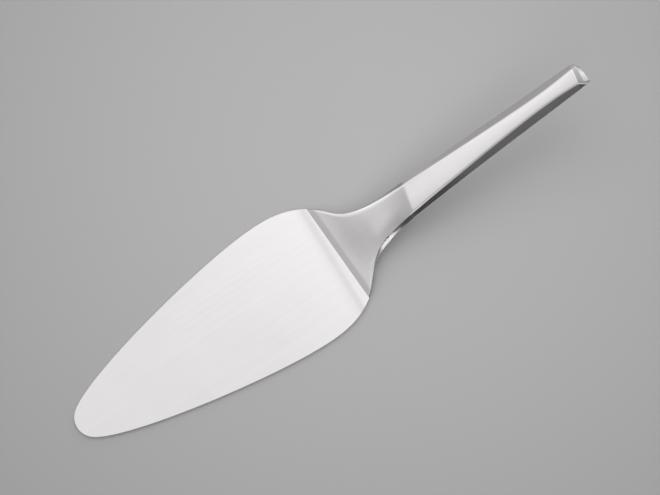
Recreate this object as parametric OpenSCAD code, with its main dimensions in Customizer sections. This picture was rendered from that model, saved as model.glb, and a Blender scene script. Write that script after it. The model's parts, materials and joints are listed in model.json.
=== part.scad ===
// Cake server: a flat leaf-shaped blade, a cranked neck forged in one with it,
// and a hollow handle of two pressed shells welded round the neck's tang.
// Everything is drawn from the blade's tip along +X, and then moved so that the origin
// lies under the middle of the server, on the surface that the blade rests on.

/* [Blade] */
// Length of the flat blade, from its tip to the crease
blade_l = 133.7; // [125:0.1:150]
// Greatest width of the blade
blade_w = 60; // [50:0.5:70]
// Length from the widest place to the crease
shoulder_l = 24.2; // [20:0.1:32]
// Thickness of the blade
plate_t = 1.5; // [1.2:0.1:2]
// Radius of the rounded tip
tip_r = 8.7; // [7:0.1:11]
// Angle that the tip's arc turns through on each side
tip_turn = 48; // [40:1:56]
// How far the side runs on straight from the tip's arc
side_pull = 14.5; // [8:0.5:20]
// How far the side runs on straight at the widest place, towards the tip
belly_pull = 26; // [16:0.5:34]
// How far the side runs on straight at the widest place, towards the neck
shoulder_pull = 7.5; // [4:0.5:12]

/* [Neck] */
// Length of the neck, from the crease to the handle's shells
neck_l = 38.3; // [30:0.1:45]
// Length of the hollow that starts the neck at the crease
step_l = 3; // [1.8:0.1:4]
// Length over which the neck's top turns flatter at the end of that hollow
step_turn_l = 0.8; // [0.4:0.1:1.6]
// Slope of the neck's top along that hollow, in degrees
crease_slope = 23; // [20:0.5:30]
// Length from the crease to where the outline turns hollow
turn_l = 6.9; // [4:0.1:9]
// Width of the neck where the outline turns hollow
turn_w = 34.2; // [28:0.2:40]
// Angle between the outline and the middle line where it turns hollow
turn_angle = 52.6; // [45:0.2:60]
// How far the outline runs on straight before it turns hollow
turn_pull_in = 15.8; // [10:0.2:18]
// How far the outline runs on straight after it turns hollow
turn_pull_out = 7.7; // [4:0.1:9]
// How far the outline runs on straight where it meets the handle
waist_pull = 20.5; // [12:0.5:23]
// Slope of the neck's top just past the hollow, in degrees
neck_foot_slope = 17; // [14:0.5:26]
// Slope a quarter of the way along the neck, in degrees
neck_rise_slope = 21; // [16:0.5:28]
// Slope in the narrow part of the neck, in degrees
neck_waist_slope = 20.5; // [14:0.5:26]
// Slope just before the bend at the neck's head, in degrees
neck_head_slope = 25; // [16:0.5:30]
// Length of the soft bend that leads into the handle
bend_l = 4; // [2:0.5:8]
// Thickness of the neck just past the hollow
neck_foot_t = 1.8; // [1.6:0.1:2.4]
// Thickness halfway along the neck
neck_waist_t = 2.9; // [2.4:0.1:3.6]
// Width of the broken edge along the top of the neck, at the crease
foot_facet_w = 0.2; // [0.15:0.05:0.4]
// Width of the side facet halfway along the neck
waist_facet_w = 0.3; // [0.2:0.05:0.8]
// Width of the lower side facet, seen from below, halfway along the neck
waist_belly_w = 0.5; // [0.3:0.05:0.7]
// Width of the steeper strip outside the neck's side facet, where it is widest
strip_w = 0.85; // [0.4:0.05:1]
// Slope of that strip, in degrees
strip_angle = 46; // [40:1:52]
// Width of the soft rounding along the edges of the neck's top
neck_roll_w = 2.2; // [1:0.1:2.8]
// Height of that rounding
neck_roll_h = 0.28; // [0.1:0.01:0.4]
// How far the middle of the neck's top stands above its edges
neck_crown = 0.45; // [0:0.05:0.8]

/* [Handle] */
// Length of the handle's shells
handle_l = 88; // [75:0.5:110]
// Width of the handle where it meets the neck
handle_front_w = 15.35; // [13:0.05:18]
// Width of the handle at its end
handle_end_w = 11.1; // [9.5:0.1:14]
// Angle between each side and the middle line at the neck, seen from above
front_taper = 1.75; // [0:0.05:3]
// Angle between each side and the middle line at the handle's end
end_taper = 0.85; // [0:0.05:3]
// Height of the line where the shells meet, at the neck
handle_front_h = 15.1; // [12:0.1:18]
// Height of the line where the shells meet, at the handle's end
handle_end_h = 35.1; // [28:0.1:42]
// Slope of that line at the neck, in degrees
handle_front_slope = 16.5; // [12:0.5:20]
// Slope of that line at the handle's end, in degrees
handle_end_slope = 15; // [9:0.5:18]
// Slope of the upper side facets, across the handle, in degrees
facet_angle = 36; // [30:1:42]
// Slope of the lower side facets, across the handle, in degrees
belly_angle = 45; // [40:1:52]
// Width of the upper side facet at the neck, seen from above
front_facet_w = 1.6; // [1.2:0.05:2]
// Width of the upper side facet a fifth of the way along
grip_facet_w = 2.15; // [1.8:0.05:2.6]
// Width of the upper side facet where it is widest
mid_facet_w = 3.05; // [2.4:0.05:3.4]
// Width of the upper side facet near the end
rear_facet_w = 2.9; // [2.2:0.05:3.2]
// Width of the upper side facet at the end
end_facet_w = 1.75; // [1.4:0.05:2.2]
// How far the middle of the handle's top stands above its edges, at the neck
front_crown = 0.25; // [0:0.05:0.5]
// The same at the handle's end
end_crown = 0.1; // [0:0.02:0.3]
// Width of the soft rounding along the edges of the handle's top
grip_roll_w = 1; // [0.6:0.1:1.4]
// Height of that rounding
grip_roll_h = 0.12; // [0.06:0.01:0.2]
// Height of the upright band along each side
band_h = 0.9; // [0.6:0.05:1.4]
// Width of the lower side facet at the neck, seen from below
front_belly_w = 2.5; // [2:0.05:3]
// Width of the lower side facet where it is widest
mid_belly_w = 3; // [2.5:0.05:3.5]
// Width of the lower side facet at the end
end_belly_w = 2.4; // [2:0.05:2.8]

/* [Handle end] */
// Length of the gentle facet that starts the end
nose_l = 2.2; // [1.5:0.1:3]
// Length of the steep facet that finishes the end
cap_l = 1.8; // [1.2:0.1:2.4]

/* [Inside the handle] */
// Wall of the shells
shell_t = 0.7; // [0.5:0.05:0.9]
// Clearance between pieces that slide into each other
fit_gap = 0.05; // [0.03:0.01:0.1]
// Length of the neck's spigot inside the shells
spigot_l = 5; // [3:0.5:8]
// Length of the tang, from the neck
tang_l = 46; // [30:1:60]
// Width of the tang
tang_w = 5; // [4:0.1:6]
// Thickness of the tang
tang_t = 1.6; // [1.2:0.1:2]
// Length of the filler that holds the tang, from the neck
filler_l = 50; // [34:1:64]

/* [Hidden] */

// Places along the server
crease_x = blade_l;
step_x = crease_x + step_l;
turn_x = crease_x + turn_l;
joint_x = crease_x + neck_l;
bend_x = joint_x - bend_l;
end_x = joint_x + handle_l;
nose_x = end_x - nose_l - cap_l;
widest_x = blade_l - shoulder_l;

// Shares of the handle's length, of its height and of its width
grip_share = 0.2;
mid_share = 0.63;
rear_share = 0.82;
waist_share = 0.45;
rise_share = 0.28;
narrow_share = 0.6;
nose_centre_share = 0.72;
nose_height_share = 0.73;
nose_width_share = 0.93;
nose_top_share = 1.08;
cap_height_share = 0.36;
cap_width_share = 0.66;
cap_top_share = 0.92;
crown_shares = [-0.5, 0, 0.5];
roll_shares = [0, 0.3, 0.65, 1];
end_strip_share = 0.06;

// Steps along the curves
tip_steps = 8;
side_steps = 24;
shoulder_steps = 20;
waist_steps = 24;
step_steps = 6;
neck_steps = 16;
bend_steps = 6;
handle_steps = 20;
climb_steps = 40;

// How far one solid runs into another that it is joined to, and how far inside its faces
overlap_l = 0.5;
root_in = 0.3;

// Half the length over which the outline's direction is read
reading_l = 0.5;

function blend(a, b, t) = a + (b - a) * t;
function bezier(p, t) =
    let (a = blend(p[0], p[1], t), b = blend(p[1], p[2], t), c = blend(p[2], p[3], t))
    blend(blend(a, b, t), blend(b, c, t), t);
function bezier_points(p, steps, first = 1) = [for (i = [first:steps]) bezier(p, i / steps)];

// The height of a smooth curve through knots [x, y], with the slope at each knot that of its neighbours
function knot_slope(k, i) =
    let (a = k[max(i - 1, 0)], b = k[min(i + 1, len(k) - 1)]) (b[1] - a[1]) / (b[0] - a[0]);
function knot_before(k, x, i = 0) = i >= len(k) - 2 || x < k[i + 1][0] ? i : knot_before(k, x, i + 1);
function through(k, x) =
    let (
        i = knot_before(k, x),
        d = k[i + 1][0] - k[i][0],
        t = (x - k[i][0]) / d,
        rise = 3 * t * t - 2 * t * t * t
    )
    blend(k[i][1], k[i + 1][1], rise)
    + knot_slope(k, i) * d * t * (1 - t) * (1 - t)
    - knot_slope(k, i + 1) * d * t * t * (1 - t);

// The outline seen from above, as [x, half the width], from the tip to the handle's end
tip_arc = [for (i = [0:tip_steps])
    let (a = tip_turn * i / tip_steps) [tip_r * (1 - cos(a)), tip_r * sin(a)]];
tip_end = tip_arc[tip_steps];
side_curve = [
    tip_end,
    tip_end + side_pull * [sin(tip_turn), cos(tip_turn)],
    [widest_x - belly_pull, blade_w / 2],
    [widest_x, blade_w / 2]];
turn_dir = [cos(turn_angle), -sin(turn_angle)];
shoulder_curve = [
    [widest_x, blade_w / 2],
    [widest_x + shoulder_pull, blade_w / 2],
    [turn_x, turn_w / 2] - turn_pull_in * turn_dir,
    [turn_x, turn_w / 2]];
waist_curve = [
    [turn_x, turn_w / 2],
    [turn_x, turn_w / 2] + turn_pull_out * turn_dir,
    [joint_x, handle_front_w / 2] - waist_pull * [1, -tan(front_taper)],
    [joint_x, handle_front_w / 2]];
side_line = [
    [joint_x, handle_front_w / 2],
    [joint_x, handle_front_w / 2] + handle_l / 3 * [1, -tan(front_taper)],
    [end_x, handle_end_w / 2] - handle_l / 3 * [1, -tan(end_taper)],
    [end_x, handle_end_w / 2]];
outline = concat(
    tip_arc,
    bezier_points(side_curve, side_steps),
    bezier_points(shoulder_curve, shoulder_steps),
    bezier_points(waist_curve, waist_steps),
    bezier_points(side_line, handle_steps));
function half_w(x) = lookup(x, outline);

// How much wider a facet is across the server than square to the outline
function spread(x) =
    let (turn = (half_w(x + reading_l) - half_w(x - reading_l)) / (2 * reading_l))
    sqrt(1 + turn * turn);

// The width of the side facets, square to the outline
facet_knots = [
    [crease_x, foot_facet_w],
    [crease_x + waist_share * neck_l, waist_facet_w],
    [joint_x, front_facet_w],
    [joint_x + grip_share * handle_l, grip_facet_w],
    [joint_x + mid_share * handle_l, mid_facet_w],
    [joint_x + rear_share * handle_l, rear_facet_w],
    [end_x, end_facet_w]];
belly_knots = [
    [crease_x, foot_facet_w],
    [crease_x + waist_share * neck_l, waist_belly_w],
    [joint_x, front_belly_w],
    [joint_x + mid_share * handle_l, mid_belly_w],
    [end_x, end_belly_w]];
strip_knots = [
    [crease_x, foot_facet_w],
    [crease_x + rise_share * neck_l, strip_w / 2],
    [crease_x + waist_share * neck_l, strip_w],
    [crease_x + narrow_share * neck_l, strip_w],
    [bend_x, strip_w / 3],
    [joint_x, end_strip_share * strip_w]];
function facet_w(x) = through(facet_knots, x);
function belly_w(x) = through(belly_knots, x);
function edge_strip_w(x) = through(strip_knots, x);

// The soft rounding along the top's edges, as [width, height]
roll_w_knots = [
    [crease_x, grip_roll_w],
    [crease_x + rise_share * neck_l, neck_roll_w],
    [crease_x + narrow_share * neck_l, neck_roll_w],
    [joint_x, grip_roll_w]];
roll_h_knots = [
    [crease_x, 0],
    [step_x, neck_roll_h / 4],
    [crease_x + rise_share * neck_l, neck_roll_h],
    [crease_x + narrow_share * neck_l, neck_roll_h],
    [joint_x, grip_roll_h]];
function roll(x) = [lookup(x, roll_w_knots), lookup(x, roll_h_knots)];

// The height of the line where the shells meet
seam_curve = [
    [joint_x, handle_front_h],
    [joint_x, handle_front_h] + handle_l / 3 * [1, tan(handle_front_slope)],
    [end_x, handle_end_h] - handle_l / 3 * [1, tan(handle_end_slope)],
    [end_x, handle_end_h]];
function seam_h(x) = bezier(seam_curve, (x - joint_x) / handle_l)[1];

// A section is [half width at the band, half width of the top, top, band's top, seam,
// band's foot, half width of the bottom, bottom]
function handle_section(x) =
    let (
        w = half_w(x),
        seam = seam_h(x),
        high = seam + band_h / 2,
        low = seam - band_h / 2
    )
    [w, w - spread(x) * facet_w(x), high + facet_w(x) * tan(facet_angle), high, seam,
     low, w - belly_w(x), low - belly_w(x) * tan(belly_angle)];

// The neck's section has the strip too, and adds [half width of all, strip's foot].
// The neck's top climbs in a hollow from the crease, and on to the bend, which turns it into the
// handle's own slope
joint_section = handle_section(joint_x);
joint_top = joint_section[2];
joint_t = joint_top - joint_section[7];
joint_rise = tan(handle_front_slope) + knot_slope(facet_knots, 2) * tan(facet_angle);
bend_top = joint_top - bend_l * (joint_rise + tan(neck_head_slope)) / 2;
slope_knots = [
    [step_x, tan(neck_foot_slope)],
    [crease_x + rise_share * neck_l, tan(neck_rise_slope)],
    [crease_x + narrow_share * neck_l, tan(neck_waist_slope)],
    [bend_x, tan(neck_head_slope)]];
function total(v, i = 0) = i < len(v) ? v[i] + total(v, i + 1) : 0;
function climb(x) =
    let (d = (x - step_x) / climb_steps)
    d * total([for (i = [1:climb_steps]) through(slope_knots, step_x + (i - 1 / 2) * d)]);
function step_rise(d) =
    d * tan(crease_slope) + pow(max(0, d - step_l + step_turn_l), 2)
    * (tan(neck_foot_slope) - tan(crease_slope)) / (2 * step_turn_l);
step_h = step_rise(step_l);
climb_factor = (bend_top - plate_t - step_h) / climb(bend_x);
bend_curve = [
    [bend_x, bend_top],
    [bend_x, bend_top] + bend_l / 3 * [1, tan(neck_head_slope)],
    [joint_x, joint_top] - bend_l / 3 * [1, joint_rise],
    [joint_x, joint_top]];
crown_knots = [
    [crease_x, 0],
    [step_x, 0],
    [crease_x + waist_share * neck_l, neck_crown],
    [joint_x, front_crown],
    [end_x, end_crown]];
function crown(x) = lookup(x, crown_knots);
neck_t_knots = [
    [crease_x, plate_t],
    [step_x, neck_foot_t],
    [crease_x + waist_share * neck_l, neck_waist_t],
    [joint_x, joint_t]];
function neck_top(x) = x < step_x
    ? plate_t + step_rise(x - crease_x)
    : x < bend_x ? plate_t + step_h + climb_factor * climb(x)
    : bezier(bend_curve, (x - bend_x) / bend_l)[1];
function neck_section(x) =
    let (
        w = half_w(x),
        inner = w - spread(x) * edge_strip_w(x),
        top = neck_top(x),
        bottom = top - through(neck_t_knots, x),
        high = top - facet_w(x) * tan(facet_angle),
        low = bottom + belly_w(x) * tan(belly_angle)
    )
    [inner, inner - spread(x) * facet_w(x), top, high, (high + low) / 2,
     low, w - belly_w(x), bottom, w, high - edge_strip_w(x) * tan(strip_angle)];

// The same section with every face moved in by t
function shrunk(s, t) = [
    s[0] - t,
    s[1] - t * tan(facet_angle / 2),
    s[2] - t,
    s[3] - t * tan((90 - facet_angle) / 2),
    s[4],
    s[5] + t * tan((90 - belly_angle) / 2),
    s[6] - t * tan(belly_angle / 2),
    s[7] + t];
function shrunk_neck(s, t) = concat(shrunk(s, t), [s[8] - t, s[9] - t * tan((90 - strip_angle) / 2)]);

// The same section drawn in towards a point low inside the handle's end, where its side facets run out
function drawn_in(s, width_share, top_share, height_share) =
    let (centre = blend(s[4], s[7], nose_centre_share))
    [for (i = [0:7]) i == 1 ? s[i] * top_share
        : i == 0 || i == 6 ? s[i] * width_share
        : blend(centre, s[i], height_share)];

// The ring of points of a section at x: all of it, above the seam, or below it
function flat_top(x, s) = [[x, -s[1], s[2]], [x, s[1], s[2]]];
function crowned_top(x, s, c, r) =
    let (
        rolled = [for (k = roll_shares) s[1] - k * r[0]],
        inner = s[1] - r[0],
        n = len(rolled) - 1,
        across = concat(
            [for (i = [0:n]) -rolled[i]],
            [for (k = crown_shares) k * inner],
            [for (i = [n:-1:0]) rolled[i]])
    )
    [for (y = across)
        let (edge = max(0, 1 - (s[1] - abs(y)) / r[0]), share = y / s[1])
        [x, y, s[2] + r[1] * (1 - edge * edge) + c * (1 - share * share)]];
function sides(x, s) = [
    [x, s[0], s[3]], [x, s[0], s[5]], [x, s[6], s[7]],
    [x, -s[6], s[7]], [x, -s[0], s[5]], [x, -s[0], s[3]]];
function stepped_sides(x, s) = [
    [x, s[0], s[3]], [x, s[8], s[9]], [x, s[8], s[5]], [x, s[6], s[7]],
    [x, -s[6], s[7]], [x, -s[8], s[5]], [x, -s[8], s[9]], [x, -s[0], s[3]]];
function upper_sides(x, s, under = 0) = [
    [x, s[0], s[3]], [x, s[0], s[4] - under],
    [x, -s[0], s[4] - under], [x, -s[0], s[3]]];
function ring(x, s) = concat(flat_top(x, s), sides(x, s));
function neck_ring(x, s, c, r) = concat(crowned_top(x, s, c, r), stepped_sides(x, s));
function upper_ring(x, s, c, r) = concat(crowned_top(x, s, c, r), upper_sides(x, s));
function upper_hollow(x, s) = concat(flat_top(x, s), upper_sides(x, s, overlap_l));
function lower_ring(x, s, over = 0) = [
    [x, -s[0], s[4] + over], [x, s[0], s[4] + over], [x, s[0], s[5]],
    [x, s[6], s[7]], [x, -s[6], s[7]], [x, -s[0], s[5]]];
function bar_ring(x, s, w, t) =
    let (middle = (s[2] + s[7]) / 2)
    [[x, -w / 2, middle + t / 2], [x, w / 2, middle + t / 2],
     [x, w / 2, middle - t / 2], [x, -w / 2, middle - t / 2]];

// Places from a to b, both included
function places(a, b, steps) = [for (i = [0:steps]) blend(a, b, i / steps)];

// A closed solid through rings that stand along +X
module loft(rings) {
    n = len(rings[0]);
    points = [for (r = rings) each r];
    first = [for (j = [n - 1:-1:0]) j];
    last = [for (j = [0:n - 1]) (len(rings) - 1) * n + j];
    walls = [for (i = [0:len(rings) - 2]) for (j = [0:n - 1])
        let (a = i * n + j, b = i * n + (j + 1) % n)
        each [[a, b, a + n], [b, b + n, a + n]]];
    polyhedron(points, concat([first], walls, [last]), convexity = 6);
}

neck_places = concat([for (x = places(crease_x, step_x, step_steps)) if (x < step_x) x],
    places(step_x, bend_x, neck_steps),
    [for (x = places(bend_x, joint_x, bend_steps)) if (x > bend_x) x]);
handle_places = places(joint_x, nose_x, handle_steps);
nose_section = drawn_in(
    handle_section(nose_x + nose_l), nose_width_share, nose_top_share, nose_height_share);
cap_section = drawn_in(
    handle_section(end_x), cap_width_share, cap_top_share, cap_height_share);

module place() {
    translate([-end_x / 2, 0, 0]) children();
}

// The flat blade, exact along its outline
module plate() {
    side = concat([for (p = outline) if (p[0] < crease_x) p], [[crease_x, half_w(crease_x)]]);
    linear_extrude(plate_t)
        polygon(concat(side, [for (i = [len(side) - 1:-1:1]) [side[i][0], -side[i][1]]]));
}

// The neck, from the crease to the shells
module neck() {
    root = neck_ring(crease_x - overlap_l, shrunk_neck(neck_section(crease_x), root_in), 0, [grip_roll_w, 0]);
    rings = [for (x = neck_places) neck_ring(x, neck_section(x), crown(x), roll(x))];
    loft(concat([root], rings));
}

// The end of the neck that fits inside the shells
module spigot() {
    loft([for (x = places(joint_x - overlap_l, joint_x + spigot_l, 1))
        ring(x, shrunk(handle_section(x), shell_t + fit_gap))]);
}

module tang(extra = 0) {
    loft([for (x = places(joint_x + spigot_l - overlap_l, joint_x + tang_l + extra, neck_steps))
        bar_ring(x, handle_section(x), tang_w + 2 * extra, tang_t + 2 * extra)]);
}

module blade() {
    color("gainsboro") place() {
        plate();
        neck();
        spigot();
        tang();
    }
}

module handle_upper_shell() {
    color("silver") place() difference() {
        loft(concat(
            [for (x = handle_places) upper_ring(x, handle_section(x), crown(x), roll(x))],
            [upper_ring(nose_x + nose_l, nose_section, nose_width_share * end_crown,
                nose_width_share * roll(end_x)),
             upper_ring(end_x, cap_section, cap_width_share * end_crown,
                cap_width_share * roll(end_x))]));
        loft(concat(
            [upper_hollow(joint_x - overlap_l, shrunk(handle_section(joint_x), shell_t))],
            [for (x = handle_places) upper_hollow(x, shrunk(handle_section(x), shell_t))]));
    }
}

module handle_lower_shell() {
    color("darkgray") place() difference() {
        loft(concat(
            [for (x = handle_places) lower_ring(x, handle_section(x))],
            [lower_ring(nose_x + nose_l, nose_section), lower_ring(end_x, cap_section)]));
        loft(concat(
            [lower_ring(joint_x - overlap_l, shrunk(handle_section(joint_x), shell_t), overlap_l)],
            [for (x = handle_places) lower_ring(x, shrunk(handle_section(x), shell_t), overlap_l)]));
    }
}

module handle_filler() {
    color("rosybrown") place() difference() {
        loft([for (x = places(joint_x + spigot_l + fit_gap, joint_x + filler_l, neck_steps))
            ring(x, shrunk(handle_section(x), shell_t + fit_gap))]);
        tang(fit_gap);
    }
}

blade();
handle_upper_shell();
handle_lower_shell();
handle_filler();
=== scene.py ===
import json
import math

import bmesh
import bpy
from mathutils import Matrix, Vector

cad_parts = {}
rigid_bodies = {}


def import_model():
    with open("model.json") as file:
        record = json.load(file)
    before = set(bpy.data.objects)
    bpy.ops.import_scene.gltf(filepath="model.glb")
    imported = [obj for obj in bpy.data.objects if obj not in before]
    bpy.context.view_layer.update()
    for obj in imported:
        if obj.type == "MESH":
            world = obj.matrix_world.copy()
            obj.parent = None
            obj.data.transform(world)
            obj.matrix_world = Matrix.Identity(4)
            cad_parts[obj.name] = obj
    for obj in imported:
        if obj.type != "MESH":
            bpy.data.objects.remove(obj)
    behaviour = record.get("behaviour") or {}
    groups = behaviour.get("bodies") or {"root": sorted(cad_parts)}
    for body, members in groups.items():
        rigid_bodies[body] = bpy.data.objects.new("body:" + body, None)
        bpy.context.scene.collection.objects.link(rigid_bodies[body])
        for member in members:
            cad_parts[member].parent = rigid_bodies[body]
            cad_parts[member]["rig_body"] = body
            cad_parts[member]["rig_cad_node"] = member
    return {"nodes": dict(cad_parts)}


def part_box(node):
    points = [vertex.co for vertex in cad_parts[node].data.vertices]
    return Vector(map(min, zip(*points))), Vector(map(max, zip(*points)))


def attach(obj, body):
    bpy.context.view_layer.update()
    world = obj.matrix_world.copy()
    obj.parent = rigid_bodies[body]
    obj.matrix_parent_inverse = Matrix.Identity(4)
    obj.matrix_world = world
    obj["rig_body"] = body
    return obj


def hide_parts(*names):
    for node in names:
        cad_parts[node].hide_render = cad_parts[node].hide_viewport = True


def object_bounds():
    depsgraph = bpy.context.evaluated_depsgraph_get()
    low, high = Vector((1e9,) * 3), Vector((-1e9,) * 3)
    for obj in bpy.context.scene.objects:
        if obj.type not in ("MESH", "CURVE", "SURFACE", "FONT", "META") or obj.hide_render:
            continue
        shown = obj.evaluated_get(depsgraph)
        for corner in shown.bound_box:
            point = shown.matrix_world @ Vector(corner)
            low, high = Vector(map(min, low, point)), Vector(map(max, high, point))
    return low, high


bl_info = {
    "name": "Cake server",
    "version": (1, 0, 0),
    "blender": (4, 5, 0),
    "location": "View3D > Sidebar > Server",
    "description": "Builds a satin steel cake server with a hollow handle, and a plain studio round it",
    "category": "Object",
}

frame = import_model()
CAD_BOX = [list(corner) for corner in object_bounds()]
MM = 0.001

# The X of the blade's tip in the frame, in millimetres, rounded to the micrometre
TIP_X = round(CAD_BOX[0][0] / MM, 3)


def along(place):
    """The X of a place that is given in millimetres from the blade's tip."""
    return (TIP_X + place) * MM


def place_of(x):
    """The place, in millimetres from the blade's tip, of an X."""
    return (x - along(0)) / MM


# Places along the server, in millimetres from the blade's tip
CREASE_AT = 133.7
BEND_AT = 168
JOINT_AT = round(place_of(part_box("handle_upper_shell")[0].x), 3)
NOSE_AT = 256
END_AT = round(place_of(CAD_BOX[1][0]), 3)

# How steeply the neck's top rises near the bend, and the handle's top near its end
NECK_RISE = 0.42
HANDLE_RISE = 0.27

# Height of the handle's middle line at the joint and at its end, in millimetres
MIDDLE_AT_JOINT = 15.1
MIDDLE_AT_END = 33.7

# An edge this close to a place counts as lying at it
NEAR = 0.05 * MM

# How the loose triangles of a CAD node's copy become clean faces
MERGE_WITHIN = 0.002 * MM
QUAD_FOLD = math.radians(12)
QUAD_SHAPE = math.radians(60)
FLAT_WITHIN = math.radians(0.02)

# How rounded edges are stepped and shaded
ROUNDING_STEPS = 3
SMOOTH_WITHIN = math.radians(42)
LARGE_FACE_WEIGHT = 60

# The share of the bend's skew at places along the server
BEND_SKEW = ((146, 0), (162, 1), (176, 1), (196, 0))

# The picture's right and up as directions on the table, and up from the table
PICTURE_TURN = math.radians(34.545)
RIGHT = Vector((math.cos(PICTURE_TURN), -math.sin(PICTURE_TURN), 0))
UP = Vector((math.sin(PICTURE_TURN), math.cos(PICTURE_TURN), 0))
HIGH = Vector((0, 0, 1))


# Settings

class ServerEdges(bpy.types.PropertyGroup):
    """Roundings of the server's edges, its low swell and the skew of its bend"""
    rim: bpy.props.FloatProperty(
        name="Blade rim", description="Rounding of the blade's rim",
        default=0.00032, unit="LENGTH", precision=5)
    facet: bpy.props.FloatProperty(
        name="Facet edges", description="Rounding between the handle's facets",
        default=0.00016, unit="LENGTH", precision=5)
    neck: bpy.props.FloatProperty(
        name="Neck edges", description="Rounding of the long edges of the neck",
        default=0.00006, unit="LENGTH", precision=5)
    crease: bpy.props.FloatProperty(
        name="Crease", description="Width of the rounding in the crease at the blade's heel",
        default=0.00055, unit="LENGTH", precision=5)
    swell: bpy.props.FloatProperty(
        name="Heel swell", description="Height of the low swell of the blade just before the crease",
        default=0.00018, unit="LENGTH", precision=5)
    skew: bpy.props.FloatProperty(
        name="Skew", description="How far the bend between the neck and the handle is ground askew",
        default=math.radians(14), unit="ROTATION")
    nose: bpy.props.FloatProperty(
        name="Handle end", description="Rounding of the edges at the handle's end",
        default=0.0003, unit="LENGTH", precision=5)


class SteelFinish(bpy.types.PropertyGroup):
    """Colour, roughness and brushing of the steel"""
    colour: bpy.props.FloatVectorProperty(
        name="Steel", description="Colour of the bare steel",
        subtype="COLOR", size=3, min=0, max=1, default=(0.738, 0.718, 0.723))
    blade_roughness: bpy.props.FloatProperty(
        name="Blade roughness", description="Roughness of the satin blade", default=0.21, min=0, max=1)
    handle_roughness: bpy.props.FloatProperty(
        name="Handle roughness", description="Roughness of the satin handle", default=0.182, min=0, max=1)
    grain: bpy.props.FloatProperty(
        name="Grain", description="Height of the lengthwise brushing", default=0.35, min=0, max=2)


class StudioSetup(bpy.types.PropertyGroup):
    """The floor's colours with their painted pool of light, the key lamp and the camera"""
    # The floor's colours paint a pool of light: the first is lightest round the server, and it falls to
    # the darker far colour over the reach
    backdrop: bpy.props.FloatVectorProperty(
        name="Backdrop", description="Colour of the floor round the server",
        subtype="COLOR", size=3, min=0, max=1, default=(0.57, 0.57, 0.57))
    backdrop_painted_falloff: bpy.props.FloatVectorProperty(
        name="Backdrop in painted falloff", description="Colour of the floor where it falls away",
        subtype="COLOR", size=3, min=0, max=1, default=(0.355, 0.355, 0.355))
    painted_light_reach: bpy.props.FloatProperty(
        name="Painted light reach", description="Distance over which the floor's colour falls away",
        default=0.36, unit="LENGTH")
    key_power: bpy.props.FloatProperty(
        name="Key lamp", description="Power of the large soft lamp", default=1.1, unit="POWER")
    camera_height: bpy.props.FloatProperty(
        name="Camera height", description="Height of the camera over the table",
        default=1.091, unit="LENGTH")
    camera_elevation: bpy.props.FloatProperty(
        name="Camera elevation", description="Angle between the view and the table",
        default=math.radians(77.06), unit="ROTATION")
    lens_px: bpy.props.FloatProperty(
        name="Focal length", description="Focal length in pixels of a picture 660 wide", default=2600.0)


# Modelling

def deselect_all():
    """Leaves edit mode and selects nothing."""
    if bpy.context.object and bpy.context.object.mode != "OBJECT":
        bpy.ops.object.mode_set(mode="OBJECT")
    bpy.ops.object.select_all(action="DESELECT")


def copy_of(node, name):
    """A merged copy of a CAD node's mesh, as quads and flat faces, left in edit mode."""
    deselect_all()
    source = frame["nodes"][node]
    source.select_set(True)
    bpy.context.view_layer.objects.active = source
    bpy.ops.object.duplicate()
    piece = bpy.context.object
    piece.name = name
    piece.data.name = name
    piece.parent = None
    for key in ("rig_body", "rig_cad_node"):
        if key in piece:
            del piece[key]
    piece.data.materials.clear()
    bpy.ops.mesh.customdata_custom_splitnormals_clear()
    bpy.ops.object.mode_set(mode="EDIT")
    bpy.ops.mesh.select_mode(type="VERT")
    bpy.ops.mesh.select_all(action="SELECT")
    bpy.ops.mesh.remove_doubles(threshold=MERGE_WITHIN)
    bpy.ops.mesh.tris_convert_to_quads(face_threshold=QUAD_FOLD, shape_threshold=QUAD_SHAPE)
    bpy.ops.mesh.dissolve_limited(angle_limit=FLAT_WITHIN)
    bpy.ops.mesh.select_all(action="DESELECT")
    return piece


def select_edges(piece, wanted):
    """Selects the edges for which wanted(edge, centre, angle) holds, in edit mode, and counts them."""
    bpy.ops.mesh.select_mode(type="EDGE")
    bpy.ops.mesh.select_all(action="DESELECT")
    mesh = bmesh.from_edit_mesh(piece.data)
    count = 0
    for edge in mesh.edges:
        if len(edge.link_faces) != 2:
            continue
        centre = (edge.verts[0].co + edge.verts[1].co) / 2
        if wanted(edge, centre, edge.calc_face_angle(0.0)):
            edge.select_set(True)
            count += 1
    mesh.select_flush_mode()
    bmesh.update_edit_mesh(piece.data)
    return count


def weigh(piece, width, widest, wanted):
    """Gives the wanted edges, if there are any, the bevel weight for a rounding of this width."""
    if select_edges(piece, wanted):
        bpy.ops.transform.edge_bevelweight(value=-1.0)
        bpy.ops.transform.edge_bevelweight(value=width / widest)


def finish_edges(piece, widest):
    """Rounds the weighted edges, and gives the faces smooth normals that follow the large faces."""
    bpy.ops.mesh.select_all(action="DESELECT")
    bpy.ops.object.mode_set(mode="OBJECT")
    bevel = piece.modifiers.new("Rounded edges", "BEVEL")
    bevel.limit_method = "WEIGHT"
    bevel.width = widest
    bevel.segments = ROUNDING_STEPS
    bevel.use_clamp_overlap = True
    bevel.miter_outer = "MITER_SHARP"
    bpy.ops.object.modifier_apply(modifier=bevel.name)
    bpy.ops.object.shade_smooth_by_angle(angle=SMOOTH_WITHIN)
    normals = piece.modifiers.new("Even normals", "WEIGHTED_NORMAL")
    normals.mode = "FACE_AREA"
    normals.weight = LARGE_FACE_WEIGHT
    normals.keep_sharp = True
    bpy.ops.object.modifier_apply(modifier=normals.name)


def clamp(value, low=0.0, high=1.0):
    """The value, or the bound that it passes."""
    return min(high, max(low, value))


def between(place, knots):
    """The amount at a place, on soft steps between knots of (place, amount)."""
    if place <= knots[0][0]:
        return knots[0][1]
    for (start, low), (end, high) in zip(knots, knots[1:]):
        if place <= end:
            share = (place - start) / (end - start)
            return low + (high - low) * share * share * (3 - 2 * share)
    return knots[-1][1]


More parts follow.
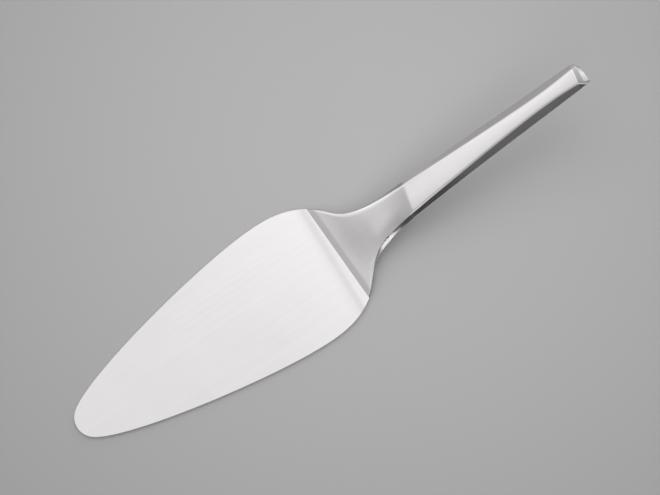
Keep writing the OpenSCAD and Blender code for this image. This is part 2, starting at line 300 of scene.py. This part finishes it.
def middle_height(x):
    """The height of the handle's middle line at an X."""
    share = (place_of(x) - JOINT_AT) / (END_AT - JOINT_AT)
    return (MIDDLE_AT_JOINT + (MIDDLE_AT_END - MIDDLE_AT_JOINT) * share) * MM


def cut(piece, wanted, point, normal):
    """Cuts the faces for which wanted(centre, normal) holds along a plane, in edit mode."""
    bpy.ops.mesh.select_mode(type="FACE")
    bpy.ops.mesh.select_all(action="DESELECT")
    mesh = bmesh.from_edit_mesh(piece.data)
    for face in mesh.faces:
        face.select_set(wanted(face.calc_center_median(), face.normal))
    bmesh.update_edit_mesh(piece.data)
    bpy.ops.mesh.bisect(plane_co=point, plane_no=normal, use_fill=False)


def shift_points(piece, shift):
    """Moves each point of the mesh by what shift(point) gives, in edit mode."""
    mesh = bmesh.from_edit_mesh(piece.data)
    for vertex in mesh.verts:
        vertex.co += shift(vertex.co)
    bmesh.update_edit_mesh(piece.data)


def bend_skew(point, slope):
    """The shift that sets the bend askew: its near side lies closer to the blade than its far side."""
    dx = slope * between(place_of(point.x), BEND_SKEW) * point.y
    return Vector((dx, 0, NECK_RISE * dx))


def place_piece(piece, node, material):
    """Gives a finished piece its material, and lets it stand for a CAD node."""
    piece.data.materials.append(material)
    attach(piece, "root")
    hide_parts(node)


# Materials

def new_node(tree, kind, place, **values):
    """A node of a material, group or world, at a place in its editor, with some of its settings."""
    node = tree.nodes.new(kind)
    node.location = place
    for key, value in values.items():
        setattr(node, key, value)
    return node


def brushed_grain_group():
    """Lengthwise brushing: fine hairlines and wider streaks, with soft clouds over the surface.

    Widths and sizes are in millimetres, and Stretch is how many times longer than wide a hair is.
    """
    noise_roughness = 0.6
    streak_share = 0.5
    group = bpy.data.node_groups.new("Brushed grain", "ShaderNodeTree")
    sockets = group.interface
    inputs = (("Hair width", 0.12), ("Streak width", 1.4), ("Stretch", 60.0), ("Cloud size", 30.0))
    for name, default in inputs:
        socket = sockets.new_socket(name=name, in_out="INPUT", socket_type="NodeSocketFloat")
        socket.default_value = default
    for name in ("Height", "Streaks", "Clouds"):
        sockets.new_socket(name=name, in_out="OUTPUT", socket_type="NodeSocketFloat")
    entry = new_node(group, "NodeGroupInput", (-1200, 0))
    leave = new_node(group, "NodeGroupOutput", (700, 0))
    coords = new_node(group, "ShaderNodeTexCoord", (-1200, 300))
    apart = new_node(group, "ShaderNodeSeparateXYZ", (-1000, 300))
    group.links.new(coords.outputs["Object"], apart.inputs[0])
    shorten = new_node(group, "ShaderNodeMath", (-800, 340), operation="DIVIDE")
    group.links.new(apart.outputs["X"], shorten.inputs[0])
    group.links.new(entry.outputs["Stretch"], shorten.inputs[1])
    drawn = new_node(group, "ShaderNodeCombineXYZ", (-600, 300))
    group.links.new(shorten.outputs[0], drawn.inputs["X"])
    group.links.new(apart.outputs["Y"], drawn.inputs["Y"])
    group.links.new(apart.outputs["Z"], drawn.inputs["Z"])

    def noise(width_name, vector, place, detail):
        scale = new_node(group, "ShaderNodeMath", (place[0] - 200, place[1]), operation="DIVIDE")
        scale.inputs[0].default_value = 1 / MM
        group.links.new(entry.outputs[width_name], scale.inputs[1])
        node = new_node(group, "ShaderNodeTexNoise", place)
        node.inputs["Detail"].default_value = detail
        node.inputs["Roughness"].default_value = noise_roughness
        group.links.new(vector, node.inputs["Vector"])
        group.links.new(scale.outputs[0], node.inputs["Scale"])
        return node.outputs["Fac"]

    hairs = noise("Hair width", drawn.outputs[0], (-300, 300), detail=3.0)
    streaks = noise("Streak width", drawn.outputs[0], (-300, 0), detail=4.0)
    clouds = noise("Cloud size", coords.outputs["Object"], (-300, -300), detail=2.0)
    both = new_node(group, "ShaderNodeMath", (200, 200), operation="MULTIPLY_ADD")
    both.inputs[1].default_value = streak_share
    group.links.new(streaks, both.inputs[0])
    group.links.new(hairs, both.inputs[2])
    group.links.new(both.outputs[0], leave.inputs["Height"])
    group.links.new(streaks, leave.inputs["Streaks"])
    group.links.new(clouds, leave.inputs["Clouds"])
    return group


def satin_steel(name, finish, roughness, hair, streak):
    """Bare steel with a satin finish, brushed lengthwise; hair and streak are widths in millimetres."""
    streak_tint = 0.035
    cloud_roughness = 0.03
    cloud_low, cloud_high = 0.3, 0.7
    grain_height = 0.01 * MM
    material = bpy.data.materials.new(name)
    material.use_nodes = True
    tree = material.node_tree
    shader = tree.nodes["Principled BSDF"]
    shader.inputs["Metallic"].default_value = 1.0
    grains = new_node(tree, "ShaderNodeGroup", (-900, 0))
    grains.node_tree = bpy.data.node_groups.get("Brushed grain") or brushed_grain_group()
    grains.inputs["Hair width"].default_value = hair
    grains.inputs["Streak width"].default_value = streak

    tint = new_node(tree, "ShaderNodeMix", (-400, 300), data_type="RGBA")
    tint.inputs["A"].default_value = (*[c * (1 - streak_tint) for c in finish.colour], 1)
    tint.inputs["B"].default_value = (*[min(c * (1 + streak_tint), 1.0) for c in finish.colour], 1)
    tree.links.new(grains.outputs["Streaks"], tint.inputs["Factor"])
    tree.links.new(tint.outputs["Result"], shader.inputs["Base Color"])

    rough = new_node(tree, "ShaderNodeMapRange", (-400, 0))
    rough.inputs["From Min"].default_value = cloud_low
    rough.inputs["From Max"].default_value = cloud_high
    rough.inputs["To Min"].default_value = roughness - cloud_roughness
    rough.inputs["To Max"].default_value = roughness + cloud_roughness
    tree.links.new(grains.outputs["Clouds"], rough.inputs["Value"])
    tree.links.new(rough.outputs["Result"], shader.inputs["Roughness"])

    bump = new_node(tree, "ShaderNodeBump", (-400, -300))
    bump.inputs["Strength"].default_value = finish.grain
    bump.inputs["Distance"].default_value = grain_height
    tree.links.new(grains.outputs["Height"], bump.inputs["Height"])
    tree.links.new(bump.outputs["Normal"], shader.inputs["Normal"])
    return material


def cast_filler():
    """Tan resin filler with grit in it."""
    resin = (0.42, 0.31, 0.21, 1)
    pale_grit = (0.64, 0.5, 0.37, 1)
    material = bpy.data.materials.new("Cast filler")
    material.use_nodes = True
    tree = material.node_tree
    shader = tree.nodes["Principled BSDF"]
    shader.inputs["Roughness"].default_value = 0.8
    coords = new_node(tree, "ShaderNodeTexCoord", (-900, 0))
    grit = new_node(tree, "ShaderNodeTexNoise", (-700, 0))
    grit.inputs["Scale"].default_value = 1800.0
    grit.inputs["Detail"].default_value = 4.0
    tree.links.new(coords.outputs["Object"], grit.inputs["Vector"])
    mix = new_node(tree, "ShaderNodeMix", (-400, 200), data_type="RGBA")
    mix.inputs["A"].default_value = resin
    mix.inputs["B"].default_value = pale_grit
    tree.links.new(grit.outputs["Fac"], mix.inputs["Factor"])
    tree.links.new(mix.outputs["Result"], shader.inputs["Base Color"])
    bump = new_node(tree, "ShaderNodeBump", (-400, -200))
    bump.inputs["Strength"].default_value = 0.4
    bump.inputs["Distance"].default_value = 0.1 * MM
    tree.links.new(grit.outputs["Fac"], bump.inputs["Height"])
    tree.links.new(bump.outputs["Normal"], shader.inputs["Normal"])
    return material


def floor_with_painted_light_pool(studio):
    """A matt floor with a painted pool of light: its colour is lightest beside the server and darker away
    from there.
    """
    # Middle of the painted pool of light
    painted_light_centre = (0.042, 0.03, 0)
    material = bpy.data.materials.new("Floor with painted light pool")
    material.use_nodes = True
    tree = material.node_tree
    shader = tree.nodes["Principled BSDF"]
    shader.inputs["Roughness"].default_value = 0.9
    shader.inputs["Specular IOR Level"].default_value = 0.1
    coords = new_node(tree, "ShaderNodeTexCoord", (-900, 0))
    far = new_node(tree, "ShaderNodeVectorMath", (-700, 0), operation="DISTANCE")
    far.inputs[1].default_value = painted_light_centre
    tree.links.new(coords.outputs["Object"], far.inputs[0])
    # Painted light: the floor's colour darkens with distance from the middle of the pool
    fade = new_node(tree, "ShaderNodeMapRange", (-500, 0), interpolation_type="SMOOTHSTEP")
    fade.inputs["From Max"].default_value = studio.painted_light_reach
    tree.links.new(far.outputs["Value"], fade.inputs["Value"])
    mix = new_node(tree, "ShaderNodeMix", (-250, 0), data_type="RGBA")
    mix.inputs["A"].default_value = (*studio.backdrop, 1)
    mix.inputs["B"].default_value = (*studio.backdrop_painted_falloff, 1)
    tree.links.new(fade.outputs["Result"], mix.inputs["Factor"])
    tree.links.new(mix.outputs["Result"], shader.inputs["Base Color"])
    return material


# Operators

class SERVER_OT_forge_blade(bpy.types.Operator):
    """The blade and the cranked neck, with rounded rims and a low swell at the heel"""
    bl_idname = "server.forge_blade"
    bl_label = "Forge the blade"

    # Angles between two faces, in radians, over which an edge is rounded: at the blade's rim, along
    # the neck and in the crease
    RIM_FOLD = 0.6
    NECK_FOLD = 0.12
    CREASE_FOLD = 0.3
    # An edge whose ends lie this close in length runs across the server
    CROSSWISE_WITHIN = 0.01 * MM

    # Thickness of the blade, in millimetres
    BLADE_T = 1.5
    # The swell's line crosses the blade's middle here, and lies this much askew
    SWELL_AT = 130.4
    SWELL_LEAN = 0.065
    # Share of the swell's height at each distance from its line, in millimetres
    SWELL = ((-4.5, 0.0), (-1.6, 0.14), (-0.8, 0.3), (0.0, 0.58), (0.8, 0.83), (1.5, 0.92), (3.2, 1.0))
    # Share of the swell's height that is left along the neck
    SWELL_FADE = ((CREASE_AT, 1), (BEND_AT, 0))
    # The heel's lengthwise cuts start this far before the swell, at these distances from the middle
    CUT_MARGIN = 1
    LENGTHWISE_CUTS = (-14, -7, 0, 7, 14)
    # The least Z of the normals of faces that look up, and of those that don't look down
    FACING_UP = 0.9
    NOT_FACING_DOWN = -0.5

    # The real neck lies a little off its plain form. Each set of its points is told by its side, by
    # the bounds of its normal's Y and by a Z that its normal exceeds. It moves one way, by so many
    # millimetres at places along the server.
    TOP = 0.6
    FLANK = (-2, -0.8)
    NECK_SETS = (
        # The far half of the top, outwards
        (("far",), (-1, 1), TOP, (0, 1, 0),
         ((140, 0), (150, 0.35), (164, 0.35), (171.9, 0))),
        # The top of the bend, up
        (("far", "near"), (-1, 1), TOP, (0, 0, 1),
         ((167.9, 0), (170.2, 0.09), (171.9, 0))),
        # The start of the rounding along the top's near side, down
        (("near",), (-0.2, -0.04), TOP, (0, 0, -1),
         ((137, 0), (148, 0.2), (160, 0.2), (170, 0))),
        # The rest of that rounding, down
        (("near",), (-0.35, -0.2), TOP, (0, 0, -1),
         ((137, 0), (148, 0.13), (160, 0.13), (170, 0))),
        # The top's near edge, inwards
        (("near",), (-0.55, -0.35), TOP, (0, 1, 0),
         ((142, 0), (147, 0.15), (155, 0.2), (160, 0))),
        # The upper edge of the steep strip outside it, down
        (("near",), (-0.75, -0.55), TOP, (0, 0, -1),
         ((141, 0), (149, 0.12), (155, 0.15), (159, 0.12), (164, 0.3), (169, 0.3), (171.9, 0))),
        # The near flank, outwards
        (("near",), FLANK, -1, (0, -1, 0),
         ((142, 0), (148, 0.22), (156, 0.3), (160, 0))),
        # The near flank's upper edge, down
        (("near",), FLANK, 0, (0, 0, -1),
         ((141, 0), (149, 0.34), (156, 0.45), (160, 0.3), (168, 0.3), (171.9, 0))),
    )

    def execute(self, context):
        edges = context.scene.server_edges
        finish = context.scene.server_finish
        piece = copy_of("blade", "forged_blade")
        self.cut_heel(piece)
        widest = max(edges.rim, edges.neck, edges.crease)
        joint = along(JOINT_AT)
        crease = along(CREASE_AT)

        def crosswise(edge):
            return abs(edge.verts[0].co.x - edge.verts[1].co.x) < self.CROSSWISE_WITHIN

        def on_rim(edge, centre, angle):
            return centre.x < crease and angle > self.RIM_FOLD

        def on_neck(edge, centre, angle):
            within = crease + NEAR < centre.x < joint - NEAR
            return within and angle > self.NECK_FOLD and not crosswise(edge)

        def in_crease(edge, centre, angle):
            return abs(centre.x - crease) < NEAR and angle > self.CREASE_FOLD and crosswise(edge)

        weigh(piece, edges.rim, widest, on_rim)
        weigh(piece, edges.neck, widest, on_neck)
        weigh(piece, edges.crease, widest, in_crease)
        self.shape_neck(piece)
        slope = math.tan(edges.skew)
        shift_points(piece, lambda point: self.heel_lift(point, edges.swell) + bend_skew(point, slope))
        finish_edges(piece, widest)
        steel = satin_steel("Satin blade steel", finish, finish.blade_roughness, hair=0.1, streak=1.6)
        place_piece(piece, "blade", steel)
        return {"FINISHED"}

    def cut_heel(self, piece):
        """Cuts the blade's top before the crease into small faces that can carry the swell."""
        crease = along(CREASE_AT)
        start = along(self.SWELL_AT + self.SWELL[0][0] - self.CUT_MARGIN)

        def above_underside(centre, normal):
            return centre.x < crease and normal.z > self.NOT_FACING_DOWN

        def on_heel(centre, normal):
            return start < centre.x < crease and normal.z > self.FACING_UP

        for offset, _ in self.SWELL[:-1]:
            cut(piece, above_underside, (along(self.SWELL_AT + offset), 0, 0), (1, -self.SWELL_LEAN, 0))
        for side in self.LENGTHWISE_CUTS:
            cut(piece, on_heel, (0, side * MM, 0), (0, 1, 0))

    def shape_neck(self, piece):
        """Moves the sets of the neck's points to where the light shows them on the real neck."""
        mesh = bmesh.from_edit_mesh(piece.data)
        mesh.normal_update()
        for vertex in mesh.verts:
            place = place_of(vertex.co.x)
            side = "far" if vertex.co.y > 0 else "near"
            shift = Vector()
            for sides, (low, high), over_z, way, knots in self.NECK_SETS:
                if side in sides and low < vertex.normal.y < high and vertex.normal.z > over_z:
                    shift += Vector(way) * between(place, knots)
            vertex.co += shift * MM
        bmesh.update_edit_mesh(piece.data)

    def heel_lift(self, point, height):
        """The lift of the swell, which fades out along the neck and towards the flat underside."""
        place = place_of(point.x)
        offset = place - self.SWELL_AT - self.SWELL_LEAN * point.y / MM
        share = between(offset, self.SWELL) * between(place, self.SWELL_FADE)
        return Vector((0, 0, height * share * clamp(point.z / (self.BLADE_T * MM))))


class SERVER_OT_press_shells(bpy.types.Operator):
    """The two pressed half shells of the handle, with soft edges between their facets"""
    bl_idname = "server.press_shells"
    bl_label = "Press the handle's shells"

    # Angles between two faces, in radians, between which an edge is rounded: along the facets and
    # at the end
    FACET_FOLDS = (0.25, 1.4)
    END_FOLDS = (0.2, 1.4)

    # The handle's end has three rows of points: the edge where its top ends, the ridge between its
    # two end facets, and its rim. These places, in millimetres from the tip, part the rows.
    RIDGE_FROM = 257
    RIM_FROM = 259
    # How far the far side lies forward for each millimetre from the middle, at places along the
    # server, up to this distance from the middle. The near side lies back as far.
    LEAN = ((246, 0), (256, 0.2), (258.2, 0.17), (260, 0))
    LEAN_HALF_W = 3.6
    # How far, in millimetres, the points lie back towards the blade, and towards the far side
    BACK = ((246, 0), (256, 0.6), (258.2, 0.3), (260, 0))
    ASIDE = ((256.5, 0), (258.2, -0.2), (260, -1.3))
    # How much lower the rim and the ridge lie, in millimetres, and how steeply the ridge climbs
    # towards the far side
    RIM_DROP = 0.43
    RIDGE_DROP = 0.39
    RIDGE_TILT = 0.066
    # The ridge's points lie within this distance of the middle. On the near side they spread
    # outwards, by an amount that starts at one distance from the middle and grows over another.
    RIDGE_HALF_W = 4.5
    SPREAD = 0.8
    SPREAD_FROM = 1.5
    SPREAD_OVER = 2.5
    # Outside the ridge, the near side's points lie further forward, and those over a height higher
    CORNER_OUT = 0.9
    CORNER_UP = 0.2
    CORNER_OVER = 34.2

    def execute(self, context):
        edges = context.scene.server_edges
        finish = context.scene.server_finish
        steel = satin_steel("Satin handle steel", finish, finish.handle_roughness, hair=0.08, streak=1.0)
        widest = max(edges.facet, edges.nose)
        joint = along(JOINT_AT)
        nose = along(NOSE_AT)
        slope = math.tan(edges.skew)
        for node, name in (
                ("handle_upper_shell", "upper_handle_shell"),
                ("handle_lower_shell", "lower_handle_shell")):
            upper = node == "handle_upper_shell"
            piece = copy_of(node, name)

            def on_facets(edge, centre, angle):
                low, high = self.FACET_FOLDS
                within = joint + NEAR < centre.x < nose - NEAR
                return within and low < angle < high and self.outside(edge)

            def on_end(edge, centre, angle):
                low, high = self.END_FOLDS
                in_own_half = (centre.z > middle_height(centre.x)) == upper
                within = centre.x > nose - NEAR and in_own_half
                return within and low < angle < high and self.outside(edge)

            weigh(piece, edges.facet, widest, on_facets)
            weigh(piece, edges.nose, widest, on_end)
            shift_points(piece, lambda point: bend_skew(point, slope) + self.end_skew(point))
            finish_edges(piece, widest)
            place_piece(piece, node, steel)
        return {"FINISHED"}

    @staticmethod
    def outside(edge):
        """Whether both faces of an edge look away from the handle's middle line."""
        for face in edge.link_faces:
            centre = face.calc_center_median()
            if face.normal.dot(centre - Vector((centre.x, 0, middle_height(centre.x)))) < 0:
                return False
        return True

    def end_skew(self, point):
        """The shift that sets the end facets askew, and draws out the end's near corner."""
        place = place_of(point.x)
        if place < self.LEAN[0][0]:
            return Vector()
        y = point.y / MM
        side = clamp(y, -self.LEAN_HALF_W, self.LEAN_HALF_W)
        above_middle = clamp(1 + (point.z - middle_height(point.x)) / MM)
        dx = between(place, self.LEAN) * side - between(place, self.BACK)
        dy = between(place, self.ASIDE)
        if place < self.RIDGE_FROM:
            dz = HANDLE_RISE * dx
        elif place > self.RIM_FROM:
            dz = -self.RIM_DROP
            above_middle = 1.0
        elif abs(y) < self.RIDGE_HALF_W:
            dz = self.RIDGE_TILT * side - self.RIDGE_DROP
            dy -= self.SPREAD * clamp((-y - self.SPREAD_FROM) / self.SPREAD_OVER)
        elif y < 0:
            dz = self.CORNER_UP if point.z / MM > self.CORNER_OVER else 0.0
            dx += self.CORNER_OUT
        else:
            dz = 0.0
        return Vector((dx, dy, dz)) * (above_middle * MM)


class SERVER_OT_cast_filler(bpy.types.Operator):
    """The filler round the tang, which the shells hide"""
    bl_idname = "server.cast_filler"
    bl_label = "Cast the filler"

    def execute(self, context):
        node = frame["nodes"]["handle_filler"]
        node.data.materials.clear()
        node.data.materials.append(cast_filler())
        return {"FINISHED"}


class SERVER_OT_set_stage(bpy.types.Operator):
    """A floor with a painted pool of light, soft studio light and the camera"""
    bl_idname = "server.set_stage"
    bl_label = "Set the stage"

    FLOOR_W = 6.0
    # The camera stands over this point of the table, in millimetres from the blade's tip
    CAMERA_OVER = (-9.49, -202.14)
    PICTURE_W_PX = 660
    # The key lamp's distance, and its direction as shares of right, up and high
    LAMP_FAR = 1.2
    LAMP_SHARES = (-0.1, 0.6, 0.8)
    # The sky is nowhere darker than this
    SKY_LEAST = 0.02

    # Angles from a soft box's middle to where it starts to fade and to where it ends, in degrees
    OVERHEAD = (25.5, 37.5)
    WIDE = (8, 45)
    NARROW = (6, 22)
    SMALL = (4, 9)
    SMALL_SOFT = (4, 12)
    TABLE = (40, 90)
    # The soft boxes: azimuth from the picture's right and elevation in degrees, angles and strength.
    # A fit to the steel's tones chose all but the last two from a grid, and gave their strengths,
    # apart from that of the low box at the handle, which was raised.
    SOFT_BOXES = (
        ("overhead", 0, 90, OVERHEAD, 0.442),
        ("horizon, in front", -120, 10, WIDE, 0.49),
        ("horizon, in front of the handle", -20, 10, NARROW, 0.372),
        ("horizon, at the handle", 60, 10, WIDE, 0.691),
        ("horizon, behind", 100, 10, WIDE, 0.416),
        ("horizon, behind the tip", 140, 10, NARROW, 0.165),
        ("low, tip side", -160, 28, WIDE, 0.533),
        ("low, at the handle", 40, 28, NARROW, 0.56),
        ("low, behind the tip", 140, 28, NARROW, 0.564),
        ("in front", -100, 46, NARROW, 0.961),
        ("in front, to the right", -60, 46, NARROW, 0.344),
        ("handle side", 0, 46, NARROW, 0.662),
        ("behind the tip", 140, 46, NARROW, 0.539),
        ("tip side", 160, 46, NARROW, 0.349),
        ("high, tip side", -180, 62, NARROW, 0.251),
        ("high, in front of the handle", -30, 62, NARROW, 0.811),
        ("high, behind the handle", 60, 62, NARROW, 1.488),
        ("high, behind the tip", 120, 62, NARROW, 0.342),
        ("overhead, tip side", -180, 76, NARROW, 0.377),
        ("overhead, behind", 90, 76, NARROW, 0.127),
        ("small box for the neck's foot", -44, 10, SMALL, 1.491),
        ("small box for the neck's edge", -56, 6, SMALL, 1.835),
        ("small box for the neck's far edge", 161, 37, SMALL_SOFT, 0.5),
        ("light from the table", 0, -90, TABLE, 0.4),
    )

    def execute(self, context):
        studio = context.scene.server_studio
        self.lay_floor(context, studio)
        self.set_camera(context, studio)
        self.hang_key_lamp(context, studio)
        self.make_world(context)
        return {"FINISHED"}

    def lay_floor(self, context, studio):
        """Lays the floor that the server lies on."""
        deselect_all()
        bpy.ops.mesh.primitive_plane_add(size=self.FLOOR_W, location=(0, 0, 0))
        floor = context.object
        floor.name = "floor"
        # The floor's material paints a pool of light round the server
        floor.data.materials.append(floor_with_painted_light_pool(studio))

    def set_camera(self, context, studio):
        """Sets the camera high over the table, with a long lens."""
        data = bpy.data.cameras.new("camera")
        camera = bpy.data.objects.new("camera", data)
        context.scene.collection.objects.link(camera)
        data.lens = studio.lens_px / self.PICTURE_W_PX * data.sensor_width
        data.clip_start = 0.05
        data.clip_end = 20.0
        x, y = self.CAMERA_OVER
        camera.location = (along(x), y * MM, studio.camera_height)
        look = UP * math.cos(studio.camera_elevation) - HIGH * math.sin(studio.camera_elevation)
        camera.rotation_euler = look.to_track_quat("-Z", "Y").to_euler()
        context.scene.camera = camera

    def hang_key_lamp(self, context, studio):
        """Hangs the lamp that lights the floor. It doesn't show in the steel."""
        data = bpy.data.lights.new("key", "AREA")
        data.shape = "RECTANGLE"
        data.size = 0.9
        data.size_y = 0.6
        data.energy = studio.key_power
        lamp = bpy.data.objects.new("key", data)
        context.scene.collection.objects.link(lamp)
        right, up, high = self.LAMP_SHARES
        aim = (RIGHT * right + UP * up + HIGH * high).normalized()
        lamp.location = aim * self.LAMP_FAR
        lamp.rotation_euler = (-aim).to_track_quat("-Z", "Y").to_euler()
        lamp.visible_glossy = False

    def make_world(self, context):
        """Paints the soft boxes on the sky as smooth discs that add up."""
        world = bpy.data.worlds.new("Studio")
        context.scene.world = world
        world.use_nodes = True
        tree = world.node_tree
        background = tree.nodes["Background"]
        coords = new_node(tree, "ShaderNodeTexCoord", (-1400, 0))

        def direction(azimuth, elevation):
            a = math.radians(azimuth)
            e = math.radians(elevation)
            right = math.cos(a) * math.cos(e)
            up = math.sin(a) * math.cos(e)
            return RIGHT * right + UP * up + HIGH * math.sin(e)

        total = None
        for index, (name, azimuth, elevation, (inner, outer), strength) in enumerate(self.SOFT_BOXES):
            row = -220 * index
            dot = new_node(tree, "ShaderNodeVectorMath", (-1100, row), operation="DOT_PRODUCT")
            dot.label = name
            dot.inputs[1].default_value = direction(azimuth, elevation)
            tree.links.new(coords.outputs["Generated"], dot.inputs[0])
            fade = new_node(tree, "ShaderNodeMapRange", (-850, row), interpolation_type="SMOOTHSTEP")
            fade.inputs["From Min"].default_value = math.cos(math.radians(outer))
            fade.inputs["From Max"].default_value = math.cos(math.radians(inner))
            fade.inputs["To Max"].default_value = strength
            tree.links.new(dot.outputs["Value"], fade.inputs["Value"])
            add = new_node(tree, "ShaderNodeMath", (-550, row), operation="ADD")
            add.inputs[1].default_value = 0.0
            tree.links.new(fade.outputs["Result"], add.inputs[0])
            if total is not None:
                tree.links.new(total, add.inputs[1])
            total = add.outputs[0]
        least = new_node(tree, "ShaderNodeMath", (-300, 0), operation="MAXIMUM")
        least.inputs[1].default_value = self.SKY_LEAST
        tree.links.new(total, least.inputs[0])
        background.inputs["Color"].default_value = (1, 1, 1, 1)
        tree.links.new(least.outputs[0], background.inputs["Strength"])


class SERVER_PT_panel(bpy.types.Panel):
    """The operators in the order that they run in, and the settings"""
    bl_idname = "SERVER_PT_panel"
    bl_label = "Cake server"
    bl_space_type = "VIEW_3D"
    bl_region_type = "UI"
    bl_category = "Server"

    def draw(self, context):
        column = self.layout.column()
        for operator in OPERATORS:
            column.operator(operator.bl_idname)
        scene = context.scene
        for group in (scene.server_edges, scene.server_finish, scene.server_studio):
            box = self.layout.box()
            for name in group.bl_rna.properties.keys():
                if name not in ("rna_type", "name"):
                    box.prop(group, name)


OPERATORS = (SERVER_OT_forge_blade, SERVER_OT_press_shells, SERVER_OT_cast_filler, SERVER_OT_set_stage)
CLASSES = (ServerEdges, SteelFinish, StudioSetup, *OPERATORS, SERVER_PT_panel)


def register():
    for cls in CLASSES:
        bpy.utils.register_class(cls)
    bpy.types.Scene.server_edges = bpy.props.PointerProperty(type=ServerEdges)
    bpy.types.Scene.server_finish = bpy.props.PointerProperty(type=SteelFinish)
    bpy.types.Scene.server_studio = bpy.props.PointerProperty(type=StudioSetup)


def unregister():
    del bpy.types.Scene.server_studio
    del bpy.types.Scene.server_finish
    del bpy.types.Scene.server_edges
    for cls in reversed(CLASSES):
        bpy.utils.unregister_class(cls)


def main():
    register()
    bpy.context.scene.view_settings.view_transform = "Standard"
    bpy.ops.server.forge_blade()
    bpy.ops.server.press_shells()
    bpy.ops.server.cast_filler()
    bpy.ops.server.set_stage()
    deselect_all()


if __name__ == "__main__":
    main()
